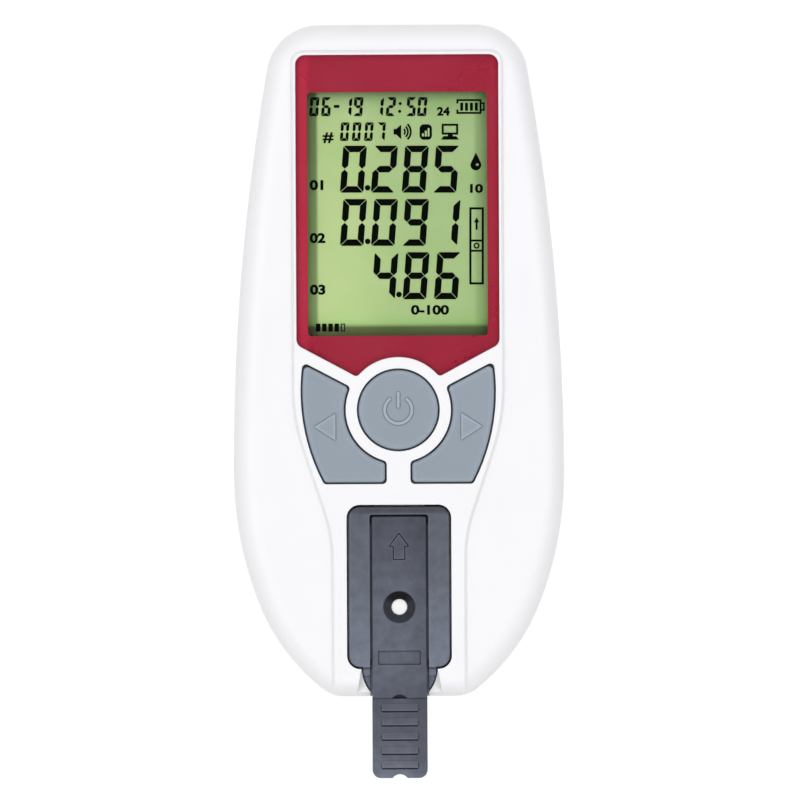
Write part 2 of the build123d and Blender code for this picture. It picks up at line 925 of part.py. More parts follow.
def strip_holder():
    """Grey strip holder with its channel, rails, tongue, reading aperture and hook lugs."""
    main = prism(holder_plan(0), holder_bottom_z, console_z)
    main = fillet(main.edges().group_by(Axis.Z)[-1], holder_edge_round)
    main = chamfer(main.edges().group_by(Axis.Z)[0], holder_foot_chamfer)
    holder = main + holder_tongue()
    past = body_end - tongue_half
    corner = channel_corner
    channel = rounded_plan(channel_half, past, channel_top, corner)
    holder -= prism(channel, channel_floor_z, console_z + 1)
    rail_low = strip_joint_z + rail_clearance
    rail_half = strip_half + rail_clearance
    for side in (-1, 1):
        inner = side * rail_half
        outer = side * (channel_half + 1)
        rail_x = sorted((inner, outer))
        low_y = tray_end + rail_end_room
        holder += block(*rail_x, low_y, channel_top - rail_end_room, rail_low, rail_low + rail_height)
        x = side * lug_x
        lug_high = inner_top_z - lug_drop
        reach = tray_top + lug_reach
        half = lug_width / 2
        holder += block(x - half, x + half, tray_top - 1, reach, lug_high - lug_thickness, lug_high)
    return holder - rod(0, well_y, aperture_radius, holder_bottom_z - 1, channel_floor_z + 1)


def end_notch(y):
    """Half-round thumb notch at a given end line."""
    return Pos(0, y - thumb_notch_radius + thumb_notch_depth) * Circle(thumb_notch_radius)


def strip_cover():
    """Upper half of the test strip, with the funnel, the arrow and the recessed label field."""
    plan = rounded_plan(strip_half, cover_end_y, strip_top_y, strip_corner) - end_notch(cover_end_y)
    cover = prism(plan, strip_joint_z, strip_top_z)
    cover = chamfer(cover.edges().group_by(Axis.Z)[-1], cover_edge_chamfer)
    throat_z = strip_joint_z + well_throat
    funnel = Cone(well_radius, well_rim_radius, strip_top_z - throat_z)
    cover -= Pos(0, well_y, (throat_z + strip_top_z) / 2) * funnel
    cover -= rod(0, well_y, well_radius, strip_joint_z - 1, throat_z + well_throat)
    label_low = cover_end_y + label_inset
    label = rounded_plan(label_half, label_low, label_low + label_length, label_corner)
    cover -= prism(label, strip_top_z - label_depth, strip_top_z + 1)
    groove_z = strip_top_z - arrow_groove_depth
    cover -= prism(offset(arrow_plan(), arrow_groove), groove_z, strip_top_z + 1)
    return cover + prism(arrow_plan(), groove_z, strip_top_z + arrow_height)


def arrow_plan():
    """Arrow that points to the strip's inner end."""
    tip = strip_top_y - arrow_inset
    neck = tip - arrow_head_length
    end = tip - arrow_length
    return make_face(
        Polyline(
            (0, tip),
            (arrow_head_half, neck),
            (arrow_shaft_half, neck),
            (arrow_shaft_half, end),
            (-arrow_shaft_half, end),
            (-arrow_shaft_half, neck),
            (-arrow_head_half, neck),
            close=True,
        )
    )


def grip_rib(top, low):
    """Rib on the handle: a slope that rises towards the handle's end and drops off there."""
    side = Plane.YZ * make_face(
        Polyline(
            (top, low - rib_start_height),
            (top, low + rib_start_height),
            (top - rib_width, low + rib_height),
            (top - rib_width, low - rib_start_height),
            close=True,
        )
    )
    return extrude(side, amount=rib_half, both=True)


def strip_base():
    """Lower half of the test strip, with the flanges, the pad's pocket and the ribbed handle."""
    handle_half = strip_half + handle_flare
    flange_end = body_end + strip_corner
    plan = rounded_plan(flange_half, flange_end, strip_top_y, strip_corner)
    base = prism(plan, strip_bottom_z, strip_joint_z)
    grip_start = cover_end_y - strip_clearance
    core = rounded_plan(handle_half, handle_end, strip_top_y - strip_corner, handle_corner)
    base += prism(core, strip_bottom_z, strip_joint_z)
    grip_plan = rounded_plan(handle_half, handle_end, flange_end, handle_corner)
    grip = prism(grip_plan, strip_bottom_z, strip_bottom_z + handle_thickness)
    grip = chamfer(grip.edges().group_by(Axis.Z)[-1], handle_edge)
    grip -= block(-half_width, half_width, grip_start, body_top, strip_joint_z, console_z)
    base += grip
    rib_low = strip_bottom_z + handle_thickness
    for i in range(rib_count):
        rib_top = cover_end_y - rib_inset - i * rib_pitch
        rib_foot = rib_top - rib_width
        groove_low = rib_low - rib_groove_depth
        base -= block(-rib_half, rib_half, rib_foot - rib_groove, rib_foot, groove_low, rib_low + rib_height)
        base += grip_rib(rib_top, rib_low)
    base -= prism(end_notch(handle_end), strip_bottom_z - 1, console_z)
    half = pad_half + pad_clearance
    pocket_floor = strip_joint_z - pad_thickness
    base -= block(-half, half, well_y - half, well_y + half, pocket_floor, strip_joint_z + 1)
    return base - rod(0, well_y, read_hole_radius, strip_bottom_z - 1, strip_joint_z)


def reaction_pad():
    """White membrane under the funnel."""
    low = strip_joint_z - pad_thickness
    return block(-pad_half, pad_half, well_y - pad_half, well_y + pad_half, low, strip_joint_z)


def board_plan():
    """Outline of the board: wide behind the keys, narrow under the holder, with a tab for the port."""
    plan = centred_plan(board_half, board_low_y, board_wide_top)
    plan += centred_plan(board_half_upper, board_wide_top, board_top_y)
    plan += centred_plan(board_half_lower, board_end_y, board_low_y)
    return plan + centred_plan(board_tab_half, board_top_y, board_tab_end)


def main_board():
    """Circuit board that carries the display, the switches, the optics and the port."""
    board = prism(board_plan(), board_bottom_z, board_top_z)
    for x, y in board_screw_places():
        board -= rod(x, y, board_screw_radius + board_hole_clearance, board_bottom_z - 1, board_top_z + 1)
    return board


def chip(x, y, side, low):
    """A square chip on or under the board."""
    half = side / 2
    return block(x - half, x + half, y - half, y + half, low, low + chip_height)


def processor():
    """Main processor, on the board above the optics."""
    return chip(0, tray_top - processor_drop, processor_side, board_top_z)


def amplifier_chips():
    """Signal amplifiers on both sides of the optics."""
    return [chip(side * amplifier_x, well_y, amplifier_side, board_top_z) for side in (-1, 1)]


def radio_module():
    """Radio module under the board."""
    x = board_half - radio_inset
    y = key_centre_y - radio_drop
    half_x = radio_width / 2
    half_y = radio_length / 2
    low = board_bottom_z - radio_height
    return block(x - half_x, x + half_x, y - half_y, y + half_y, low, board_bottom_z)


def buzzer():
    """Buzzer under the board, facing the sound holes in the back."""
    low = board_bottom_z - buzzer_height
    can = rod(0, buzzer_y, buzzer_radius, low, board_bottom_z)
    return can - rod(0, buzzer_y, buzzer_hole_radius, low - 1, low + buzzer_height / 2)


def optic_housing():
    """Collar round the light source and the sensor, with a seat for the window at its top."""
    top = holder_bottom_z - optic_top_gap
    collar = rod(0, well_y, optic_radius, board_top_z, top)
    ceiling = top - optic_window_thickness - optic_collar
    collar -= rod(0, well_y, optic_radius - optic_wall, board_top_z - 1, ceiling)
    collar -= rod(0, well_y, aperture_radius, ceiling - 1, top + 1)
    seat_radius = optic_window_radius + optic_window_clearance
    return collar - rod(0, well_y, seat_radius, top - optic_window_thickness, top + 1)


def optic_window():
    """Clear window over the optics."""
    top = holder_bottom_z - optic_top_gap
    return rod(0, well_y, optic_window_radius, top - optic_window_thickness, top)


def optic_leds():
    """Light emitting diodes in a ring round the sensor."""
    leds = []
    for i in range(led_count):
        x, y = at((0, well_y), led_circle, 90 + 360 * i / led_count)
        leds.append(rod(x, y, led_radius, board_top_z, board_top_z + led_height))
    return leds


def photodiode():
    """Light sensor in the middle of the optics."""
    half = diode_side / 2
    return block(-half, half, well_y - half, well_y + half, board_top_z, board_top_z + diode_height)


def port_box(inset, low_y, high_y):
    """A box with the data port's section, moved inwards."""
    half = port_width / 2 - inset
    return block(-half, half, low_y, high_y, board_top_z + inset, board_top_z + port_height - inset)


def port_shell():
    """Metal shell of the data port."""
    mouth = body_top - port_recess
    back = mouth - port_length
    return port_box(0, back, mouth) - port_box(port_wall, back + port_wall, mouth + 1)


def port_tongue():
    """Contact tongue inside the data port."""
    back = body_top - port_recess - port_length + port_wall
    half = port_tongue_width / 2
    middle = board_top_z + port_height / 2
    low = middle - port_tongue_height / 2
    return block(-half, half, back, back + port_tongue_length, low, low + port_tongue_height)


def cell_reversed(index):
    """Every other cell has its spring at the upper end of the bay."""
    return index % 2 == 1


def upright_to_bay(piece, index):
    """Turns a piece built along Z from its spring end so that it lies in its place in the bay."""
    x = cell_xs()[index]
    if cell_reversed(index):
        return Pos(x, bay_high_y, cell_z) * Rot(90, 0, 0) * piece
    return Pos(x, bay_low_y, cell_z) * Rot(-90, 0, 0) * piece


def battery(index):
    """One AAA cell: can and raised pole."""
    start = contact_thickness + spring_length
    can_length = cell_length - cell_nub
    can = Pos(0, 0, start + can_length / 2) * Cylinder(cell_radius, can_length)
    pole = Pos(0, 0, start + cell_length - cell_nub / 2) * Cylinder(cell_nub_radius, cell_nub)
    return upright_to_bay(can + pole, index)


def spring_point(share):
    """A point on the spring's centre line and its direction there, from its wide end to its tip."""
    low = contact_thickness + spring_wire / 2 + spring_seat_gap
    rise = spring_length - spring_wire - 2 * spring_seat_gap
    shrink = spring_tip_radius - spring_base_radius
    radius = spring_base_radius + shrink * share
    turn = 2 * math.pi * spring_turns
    angle = turn * share
    point = Vector(radius * math.cos(angle), radius * math.sin(angle), low + rise * share)
    along_x = shrink * math.cos(angle) - radius * turn * math.sin(angle)
    along_y = shrink * math.sin(angle) + radius * turn * math.cos(angle)
    return point, Vector(along_x, along_y, rise).normalized()


def battery_spring(index):
    """One conical contact spring, wound as a chain of tangent arcs."""
    steps = 8 * spring_turns
    start, direction = spring_point(0)
    section = Plane(start, z_dir=direction) * Circle(spring_wire / 2)
    arcs = []
    for i in range(steps):
        end = spring_point((i + 1) / steps)[0]
        arcs.append(TangentArc(start, end, tangent=direction))
        start = end
        direction = arcs[-1] % 1
    return upright_to_bay(sweep(section, path=Wire(arcs), is_frenet=False), index)


def contact_plate(x, y):
    """One contact plate at an end of the bay, with its solder tab up to the board."""
    half = contact_half
    far = y + contact_thickness
    plate = block(x - half, x + half, y, far, cell_z - half, cell_z + half)
    return plate + block(x - contact_tab_half, x + contact_tab_half, y, far, cell_z, board_bottom_z)


def lower_contacts():
    """Contact plates at the bay's lower end."""
    return [contact_plate(x, bay_low_y) for x in cell_xs()]


def upper_contacts():
    """Contact plates at the bay's upper end."""
    return [contact_plate(x, bay_high_y - contact_thickness) for x in cell_xs()]


def battery_door():
    """Battery door with grip ribs, two hooks at its lower end and a spring latch at its upper end."""
    door = prism(rounded_plan(door_half, door_low_y, door_high_y, door_corner), back_z, door_top_z)
    hook_low = floor_z + hook_lift
    hook_high = hook_low + hook_thickness
    root_low = door_low_y + door_gap
    for side in (-1, 1):
        x = side * cell_pitch
        x0 = x - hook_width / 2
        x1 = x + hook_width / 2
        door += block(x0, x1, root_low, root_low + hook_root, back_z, hook_high)
        door += block(x0, x1, door_low_y - hook_reach, root_low + hook_root, hook_low, hook_high)
    leaf_low = latch_low_y + latch_room
    leaf_high = leaf_low + latch_leaf
    nose_low = door_top_z + door_rest_gap + door_ledge + hook_lift
    nose_end = latch_low_y + latch_window - latch_nose_gap
    door += block(-latch_half, latch_half, leaf_low, leaf_high, back_z, door_top_z + latch_height)
    door += block(-latch_half, latch_half, leaf_low, nose_end, nose_low, nose_low + latch_nose)
    for i in range(grip_rib_count):
        y = door_high_y - grip_inset - i * grip_rib_pitch
        door += block(-grip_rib_half, grip_rib_half, y - grip_rib_width, y, back_z - grip_rib_depth, back_z)
    return door


def rubber_feet():
    """Four rubber feet in their seats."""
    radius = foot_radius - foot_clearance
    feet = []
    for x, y in foot_places():
        foot = rod(x, y, radius, 0, back_z + foot_seat)
        feet.append(chamfer(foot.edges().group_by(Axis.Z)[0], foot_chamfer))
    return feet


def screw(x, y, seat_z, radius, head_radius, head_height, length):
    """A screw with a cross socket, driven up from below."""
    head_low = seat_z - head_height
    body = rod(x, y, head_radius, head_low, seat_z)
    body += rod(x, y, radius, seat_z - head_height / 2, seat_z + length)
    for half_x, half_y in ((socket_half, socket_arm), (socket_arm, socket_half)):
        body -= block(x - half_x, x + half_x, y - half_y, y + half_y, head_low - 1, head_low + socket_depth)
    return body


def case_screws():
    """Four screws that join the two shells."""
    return [
        screw(x, y, screw_seat_z, screw_radius, screw_head_radius, screw_head_height, screw_length)
        for x, y in case_screw_places()
    ]


def board_screws():
    """Four screws that hold the board to the front shell."""
    head = (board_screw_head_radius, board_screw_head_height)
    return [
        screw(x, y, board_bottom_z, board_screw_radius, *head, board_screw_length)
        for x, y in board_screw_places()
    ]


def write(name, piece):
    """Writes one node, which may be a group of separate solids."""
    if isinstance(piece, list):
        piece = Compound(children=[solid for item in piece for solid in item.solids()])
    export_step(piece, f"parts/{name}.step")


def build():
    """Builds and writes every node."""
    os.makedirs("parts", exist_ok=True)
    write("upper_shell", upper_shell())
    write("lower_shell", lower_shell())
    write("display_lens", display_lens())
    write("bezel_print", bezel_print())
    write("display_glass", display_glass())
    write("display_backlight", display_backlight())
    write("display_connectors", display_connectors())
    write("display_frame", display_frame())
    write("power_key", power_key())
    write("left_key", left_key())
    write("right_key", right_key())
    write("key_switches", key_switches())
    for name, place in switch_places().items():
        write(f"{name}_plunger", plunger(*place))
    write("strip_holder", strip_holder())
    write("strip_cover", strip_cover())
    write("strip_base", strip_base())
    write("reaction_pad", reaction_pad())
    write("main_board", main_board())
    write("processor", processor())
    write("amplifier_chips", amplifier_chips())
    write("radio_module", radio_module())
    write("buzzer", buzzer())
    write("optic_housing", optic_housing())
    write("optic_window", optic_window())
    write("optic_leds", optic_leds())
    write("photodiode", photodiode())
    write("data_port_shell", port_shell())
    write("data_port_tongue", port_tongue())
    for index in range(cell_count):
        write(f"battery_{index + 1}", battery(index))
        write(f"battery_spring_{index + 1}", battery_spring(index))
    write("lower_contacts", lower_contacts())
    write("upper_contacts", upper_contacts())
    write("battery_door", battery_door())
    write("rubber_feet", rubber_feet())
    write("case_screws", case_screws())
    write("board_screws", board_screws())


build()
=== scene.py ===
"""Looks of a hand-held renal function analyzer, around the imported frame. Lengths are in metres."""
import json
import math

import bmesh
import bpy
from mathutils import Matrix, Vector


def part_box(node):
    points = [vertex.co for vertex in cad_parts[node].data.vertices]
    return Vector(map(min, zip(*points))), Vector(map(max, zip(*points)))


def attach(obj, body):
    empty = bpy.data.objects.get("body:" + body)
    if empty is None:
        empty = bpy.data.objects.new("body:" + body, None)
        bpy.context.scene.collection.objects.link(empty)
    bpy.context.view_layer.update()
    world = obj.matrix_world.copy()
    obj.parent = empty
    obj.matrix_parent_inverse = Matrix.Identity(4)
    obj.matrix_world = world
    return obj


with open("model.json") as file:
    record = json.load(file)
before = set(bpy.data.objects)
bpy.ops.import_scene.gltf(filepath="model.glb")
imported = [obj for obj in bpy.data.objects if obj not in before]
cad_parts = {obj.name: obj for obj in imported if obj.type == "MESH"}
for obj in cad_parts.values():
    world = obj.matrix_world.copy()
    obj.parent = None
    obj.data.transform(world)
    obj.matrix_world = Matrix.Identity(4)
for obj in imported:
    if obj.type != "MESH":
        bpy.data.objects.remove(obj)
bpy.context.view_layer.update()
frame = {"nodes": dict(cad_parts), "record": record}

nodes = frame["nodes"]
MM = 0.001

# The photograph's view: straight down with a long lens, turned a little
LENS = 400.0
SENSOR = 36.0
IMAGE = 800
SHARP_HEIGHT = 20 * MM
FIELD = 163.34 * MM
CAMERA_X = 0.276 * MM
CAMERA_Y = 0.204 * MM
CAMERA_ROLL = math.radians(-0.28)
CAMERA_LEAN = math.radians(0.8)
CAMERA_REACH = FIELD * LENS / SENSOR

GLASS_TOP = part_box("display_glass")[1].z
INK_THICKNESS = 0.02 * MM

# Places on the object that the materials follow
DISPLAY_HALF = 18.3 * MM
DISPLAY_LOW = 13.3 * MM
DISPLAY_HIGH = 62.9 * MM
BEZEL_HALF = 20.6 * MM
FUNNEL_LIP = 3.35 * MM
FUNNEL_LIP_BLEND = 0.25 * MM

FLOOR_HALF = 4.0
FLOOR_DROP = 0.02 * MM


def srgb(red, green, blue):
    """Linear colour of an eight-bit one."""
    def channel(value):
        value = value / 255
        return value / 12.92 if value <= 0.04045 else ((value + 0.055) / 1.055) ** 2.4
    return channel(red), channel(green), channel(blue), 1.0


def grey(share):
    """A grey that lets a share of the light through."""
    return share, share, share, 1.0


# Building blocks for the materials

def new_material(name):
    """An empty node material with its shader."""
    material = bpy.data.materials.new(name)
    material.use_nodes = True
    tree = material.node_tree
    return material, tree, tree.nodes["Principled BSDF"]


def place(tree):
    """The piece's own points, which move with it."""
    return tree.nodes.new("ShaderNodeTexCoord").outputs["Object"]


def stretched(tree, scale):
    """The piece's points, stretched along the axes."""
    mapping = tree.nodes.new("ShaderNodeMapping")
    tree.links.new(place(tree), mapping.inputs["Vector"])
    mapping.inputs["Scale"].default_value = scale
    return mapping.outputs["Vector"]


def noise(tree, scale, detail=4.0, roughness=0.55, vector=None):
    """Cloudy pattern with scale blobs to the metre."""
    node = tree.nodes.new("ShaderNodeTexNoise")
    tree.links.new(vector or place(tree), node.inputs["Vector"])
    node.inputs["Scale"].default_value = scale
    node.inputs["Detail"].default_value = detail
    node.inputs["Roughness"].default_value = roughness
    return node.outputs["Fac"]


def ramp(tree, value, stops):
    """Colours along a value, from (place, colour) pairs."""
    node = tree.nodes.new("ShaderNodeValToRGB")
    tree.links.new(value, node.inputs["Fac"])
    elements = node.color_ramp.elements
    while len(elements) < len(stops):
        elements.new(0.5)
    for element, (at, colour) in zip(elements, stops):
        element.position = at
        element.color = colour
    return node.outputs["Color"]


def span(tree, value, low, high, to_low=0.0, to_high=1.0):
    """The value moved from one range to another."""
    node = tree.nodes.new("ShaderNodeMapRange")
    tree.links.new(value, node.inputs["Value"])
    node.inputs["From Min"].default_value = low
    node.inputs["From Max"].default_value = high
    node.inputs["To Min"].default_value = to_low
    node.inputs["To Max"].default_value = to_high
    return node.outputs["Result"]


def axis(tree, name):
    """One coordinate of the piece's points."""
    node = tree.nodes.new("ShaderNodeSeparateXYZ")
    tree.links.new(place(tree), node.inputs["Vector"])
    return node.outputs[name]


def math_node(tree, operation, first, second):
    """Two values, or a value and a number, put together."""
    node = tree.nodes.new("ShaderNodeMath")
    node.operation = operation
    for socket, value in zip(node.inputs, (first, second)):
        if isinstance(value, (int, float)):
            socket.default_value = value
        else:
            tree.links.new(value, socket)
    return node.outputs["Value"]


def vector_node(tree, operation, first, second=None):
    """Node that works on one vector, or on a vector and a constant one."""
    node = tree.nodes.new("ShaderNodeVectorMath")
    node.operation = operation
    tree.links.new(first, node.inputs[0])
    if second:
        node.inputs[1].default_value = second
    return node


def blend_colour(tree, factor, first, second, kind="MIX"):
    """Two colours mixed."""
    node = tree.nodes.new("ShaderNodeMix")
    node.data_type = "RGBA"
    node.blend_type = kind
    for socket, value in ((node.inputs[0], factor), (node.inputs[6], first), (node.inputs[7], second)):
        if isinstance(value, (int, float, tuple)):
            socket.default_value = value
        else:
            tree.links.new(value, socket)
    return node.outputs[2]


def bump(tree, shader, height, strength, depth):
    """A relief of the given depth on the surface."""
    node = tree.nodes.new("ShaderNodeBump")
    node.inputs["Strength"].default_value = strength
    node.inputs["Distance"].default_value = depth
    tree.links.new(height, node.inputs["Height"])
    tree.links.new(node.outputs["Normal"], shader.inputs["Normal"])


def shades(colour, spread):
    """A darker and a lighter shade of a colour."""
    dark = tuple(c * (1 - spread) for c in colour[:3]) + (1.0,)
    light = tuple(min(c * (1 + spread), 1.0) for c in colour[:3]) + (1.0,)
    return dark, light


def openness(tree, reach, inside):
    """How open the surface is to rays of a reach, outside or inside the solid."""
    node = tree.nodes.new("ShaderNodeAmbientOcclusion")
    node.samples = 8
    node.only_local = True
    node.inside = inside
    node.inputs["Distance"].default_value = reach
    return node.outputs["AO"]


def rubbed_and_highlit_edges(tree, amount, reach):
    """A value that rises along sharp outer edges, for pale rims that are partly wear and partly painted
    highlight.
    """
    edge = span(tree, openness(tree, reach, True), 0.98, 0.6, 0.0, amount)
    return math_node(tree, "MULTIPLY", edge, span(tree, noise(tree, 900), 0.3, 0.7, 0.6, 1.0))


def crevices(tree, colour, reach, deepest, mouth=0.92):
    """The colour with painted shade in crevices narrower than the reach; mouth is how open a surface without
    painted shade is.
    """
    crevice_shade = ramp(tree, openness(tree, reach, False), [
        (0.16, grey(deepest * 0.08)),
        (0.4, grey(deepest)),
        (mouth, grey(1.0)),
    ])
    return blend_colour(tree, 1.0, colour, crevice_shade, "MULTIPLY")


def moulded(name, colour, spread, roughness, grain, depth, wear_and_highlight=0.0, patches=35, crevice_shade=0.0, reach=0.7,
            gloss=0.5, tint=None, mouth=0.92, rim=0.45):
    """Moulded plastic with faint patches, a fine grain, pale rims that are partly rubbed wear and partly
    painted highlight, and painted shade in its crevices.

    The reach of the crevices and the width of the rim are in millimetres.
    """
    material, tree, shader = new_material(name)
    dark, light = shades(colour, spread)
    cloud = ramp(tree, noise(tree, patches, 3), [(0.3, dark), (0.7, light)])
    # The tint paints light and shade into the colour
    if tint:
        cloud = blend_colour(tree, 1.0, cloud, tint(tree), "MULTIPLY")
    # Pale rims along the edges: partly rubbed wear, partly a painted highlight
    if wear_and_highlight:
        pale = tuple(min(c * 1.5 + 0.03, 1.0) for c in colour[:3]) + (1.0,)
        cloud = blend_colour(tree, rubbed_and_highlit_edges(tree, wear_and_highlight, rim * MM), cloud, pale)
    # Painted shade in crevices and hollows
    if crevice_shade:
        cloud = crevices(tree, cloud, reach * MM, 1 - crevice_shade, mouth)
    tree.links.new(cloud, shader.inputs["Base Color"])
    shader.inputs["Specular IOR Level"].default_value = gloss
    rubbed = span(tree, noise(tree, patches * 4, 5), 0.3, 0.7, roughness - 0.05, roughness + 0.06)
    tree.links.new(rubbed, shader.inputs["Roughness"])
    bump(tree, shader, noise(tree, grain, 2, 0.6), 0.5, depth)
    return material


def plated(name, colour, roughness, stretch, grain=1.0):
    """Plated or brushed metal."""
    material, tree, shader = new_material(name)
    dark, light = shades(colour, 0.12)
    lines = noise(tree, 900 * grain, 3, 0.6, stretched(tree, stretch))
    tree.links.new(ramp(tree, lines, [(0.3, dark), (0.7, light)]), shader.inputs["Base Color"])
    shader.inputs["Metallic"].default_value = 1.0
    tree.links.new(span(tree, lines, 0.2, 0.8, roughness - 0.06, roughness + 0.1), shader.inputs["Roughness"])
    bump(tree, shader, lines, 0.25, 0.004 * MM)
    return material


def clear(name, tint, roughness, smudge):
    """Clear plastic that lets the lamps through, with faint smudges on it."""
    material, tree, shader = new_material(name)
    shader.inputs["Base Color"].default_value = tint
    shader.inputs["Transmission Weight"].default_value = 1.0
    shader.inputs["IOR"].default_value = 1.4
    marks = noise(tree, 60, 6, 0.7)
    tree.links.new(span(tree, marks, 0.45, 0.75, roughness, roughness + smudge), shader.inputs["Roughness"])
    open_shader = tree.nodes.new("ShaderNodeBsdfTransparent")
    mix = tree.nodes.new("ShaderNodeMixShader")
    paths = tree.nodes.new("ShaderNodeLightPath")
    see = math_node(tree, "MAXIMUM", paths.outputs["Is Shadow Ray"], paths.outputs["Is Diffuse Ray"])
    tree.links.new(see, mix.inputs["Fac"])
    tree.links.new(shader.outputs["BSDF"], mix.inputs[1])
    tree.links.new(open_shader.outputs["BSDF"], mix.inputs[2])
    tree.links.new(mix.outputs["Shader"], tree.nodes["Material Output"].inputs["Surface"])
    return material


def display_material():
    """Green segment display, with the light from behind painted into its colour, strongest low on its left,
    and painted shade along its edges.
    """
    material, tree, shader = new_material("display_green")
    across = span(tree, axis(tree, "X"), -DISPLAY_HALF, DISPLAY_HALF)
    down = span(tree, axis(tree, "Y"), 60 * MM, 20 * MM)
    side = ramp(tree, across, [(0.25, grey(1.0)), (0.5, grey(0.18)), (0.92, grey(0.0))])
    side_light = math_node(tree, "MULTIPLY", side, span(tree, down, 0.0, 1.0, 0.49, 0.71))
    lit = math_node(tree, "ADD", side_light, math_node(tree, "MULTIPLY", down, 0.2))
    glow = blend_colour(tree, lit, srgb(166, 191, 136), srgb(197, 216, 154))
    # Painted shadow of the frame on both sides, weaker towards the lower end
    shade = ramp(tree, across, [
        (0.0, grey(0.26)),
        (0.045, grey(0.34)),
        (0.06, grey(1.0)),
        (0.92, grey(1.0)),
        (0.945, grey(0.74)),
        (1.0, grey(0.55)),
    ])
    relief = math_node(tree, "MULTIPLY", down, span(tree, across, 0.1, 0.9, 0.2, 0.41))
    shade = blend_colour(tree, relief, shade, grey(1.0))
    green = blend_colour(tree, shade, (0.77, 1.0, 0.66, 1), grey(1.0))
    glow = blend_colour(tree, 1.0, glow, blend_colour(tree, 1.0, shade, green, "MULTIPLY"), "MULTIPLY")
    patch = ramp(tree, noise(tree, 90, 3), [(0.35, (0.88, 0.96, 0.8, 1)), (0.65, (0.97, 1, 0.94, 1))])
    glow = blend_colour(tree, 1.0, glow, patch, "MULTIPLY")
    # Painted shade along the lower and upper edges of the display
    height = span(tree, axis(tree, "Y"), DISPLAY_LOW, DISPLAY_HIGH)
    fade = ramp(tree, height, [
        (0.0, (0.16, 0.18, 0.12, 1)),
        (0.035, (0.22, 0.24, 0.17, 1)),
        (0.05, (0.78, 0.92, 0.74, 1)),
        (0.07, (0.92, 1, 0.9, 1)),
        (0.1, (1, 1, 1, 1)),
        (0.9, (1, 1, 1, 1)),
        (0.96, (0.82, 0.86, 0.84, 1)),
        (1.0, (0.5, 0.55, 0.5, 1)),
    ])
    glow = blend_colour(tree, 1.0, glow, fade, "MULTIPLY")
    tree.links.new(glow, shader.inputs["Base Color"])
    tree.links.new(span(tree, noise(tree, 200), 0.3, 0.7, 0.3, 0.4), shader.inputs["Roughness"])
    bump(tree, shader, noise(tree, 5000, 2), 0.2, 0.004 * MM)
    return material


def membrane_material():
    """White fibrous membrane."""
    material, tree, shader = new_material("membrane_white")
    fibres = noise(tree, 2600, 5, 0.7, stretched(tree, (1.0, 2.6, 1.0)))
    tree.links.new(ramp(tree, fibres, [(0.3, srgb(248, 248, 250)), (0.7, srgb(255, 255, 255))]),
                   shader.inputs["Base Color"])
    tree.links.new(span(tree, fibres, 0.2, 0.8, 0.8, 0.95), shader.inputs["Roughness"])
    bump(tree, shader, fibres, 0.6, 0.03 * MM)
    return material


def board_material():
    """Green solder mask over copper tracks, with tinned spots."""
    material, tree, shader = new_material("board_mask")
    bricks = tree.nodes.new("ShaderNodeTexBrick")
    tree.links.new(place(tree), bricks.inputs["Vector"])
    bricks.inputs["Scale"].default_value = 320
    bricks.inputs["Mortar Size"].default_value = 0.03
    bricks.inputs["Mortar Smooth"].default_value = 0.2
    bricks.inputs["Brick Width"].default_value = 0.9
    bricks.inputs["Row Height"].default_value = 0.35
    bricks.inputs["Color1"].default_value = srgb(22, 84, 48)
    bricks.inputs["Color2"].default_value = srgb(26, 92, 54)
    bricks.inputs["Mortar"].default_value = srgb(58, 128, 74)
    cells = tree.nodes.new("ShaderNodeTexVoronoi")
    tree.links.new(place(tree), cells.inputs["Vector"])
    cells.inputs["Scale"].default_value = 260
    spots = ramp(tree, cells.outputs["Distance"], [(0.12, (1, 1, 1, 1)), (0.16, (0, 0, 0, 1))])
    colour = blend_colour(tree, spots, bricks.outputs["Color"], srgb(196, 190, 168))
    tree.links.new(colour, shader.inputs["Base Color"])
    tree.links.new(span(tree, noise(tree, 300), 0.3, 0.7, 0.28, 0.4), shader.inputs["Roughness"])
    bump(tree, shader, bricks.outputs["Fac"], 0.3, 0.03 * MM)
    return material


def chip_material():
    """Black moulded epoxy with fine speckles."""
    material, tree, shader = new_material("chip_epoxy")
    specks = noise(tree, 9000, 2)
    tree.links.new(ramp(tree, specks, [(0.35, srgb(20, 20, 22)), (0.75, srgb(46, 46, 50))]),
                   shader.inputs["Base Color"])
    tree.links.new(span(tree, noise(tree, 400), 0.3, 0.7, 0.45, 0.6), shader.inputs["Roughness"])
    bump(tree, shader, specks, 0.4, 0.01 * MM)
    return material


def cell_material():
    """Printed sleeve of a cell, with bare metal at its ends and generic colour bands."""
    material, tree, shader = new_material("cell_sleeve")
    low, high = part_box("battery_1")
    along = span(tree, axis(tree, "Y"), low.y, high.y)
    bands = ramp(tree, along, [
        (0.0, srgb(186, 186, 190)),
        (0.03, srgb(34, 36, 42)),
        (0.6, srgb(38, 40, 48)),
        (0.605, srgb(196, 148, 62)),
        (0.94, srgb(206, 160, 74)),
        (0.965, srgb(186, 186, 190)),
    ])
    scuffs = ramp(tree, noise(tree, 500, 6), [(0.3, (0.86, 0.86, 0.86, 1)), (0.6, (1, 1, 1, 1))])
    tree.links.new(blend_colour(tree, 1.0, bands, scuffs, "MULTIPLY"), shader.inputs["Base Color"])
    tree.links.new(span(tree, noise(tree, 700), 0.3, 0.7, 0.22, 0.34), shader.inputs["Roughness"])
    shader.inputs["Metallic"].default_value = 0.5
    bump(tree, shader, noise(tree, 1500), 0.15, 0.01 * MM)
    return material


def along_strip(*stops):
    """Painted light and shade along the lower half, from (place in mm, share of light) pairs."""
    first = stops[0][0] * MM
    last = stops[-1][0] * MM

    def tint(tree):
        value = span(tree, axis(tree, "Y"), first, last)
        return ramp(tree, value, [((y * MM - first) / (last - first), grey(share)) for y, share in stops])
    return tint


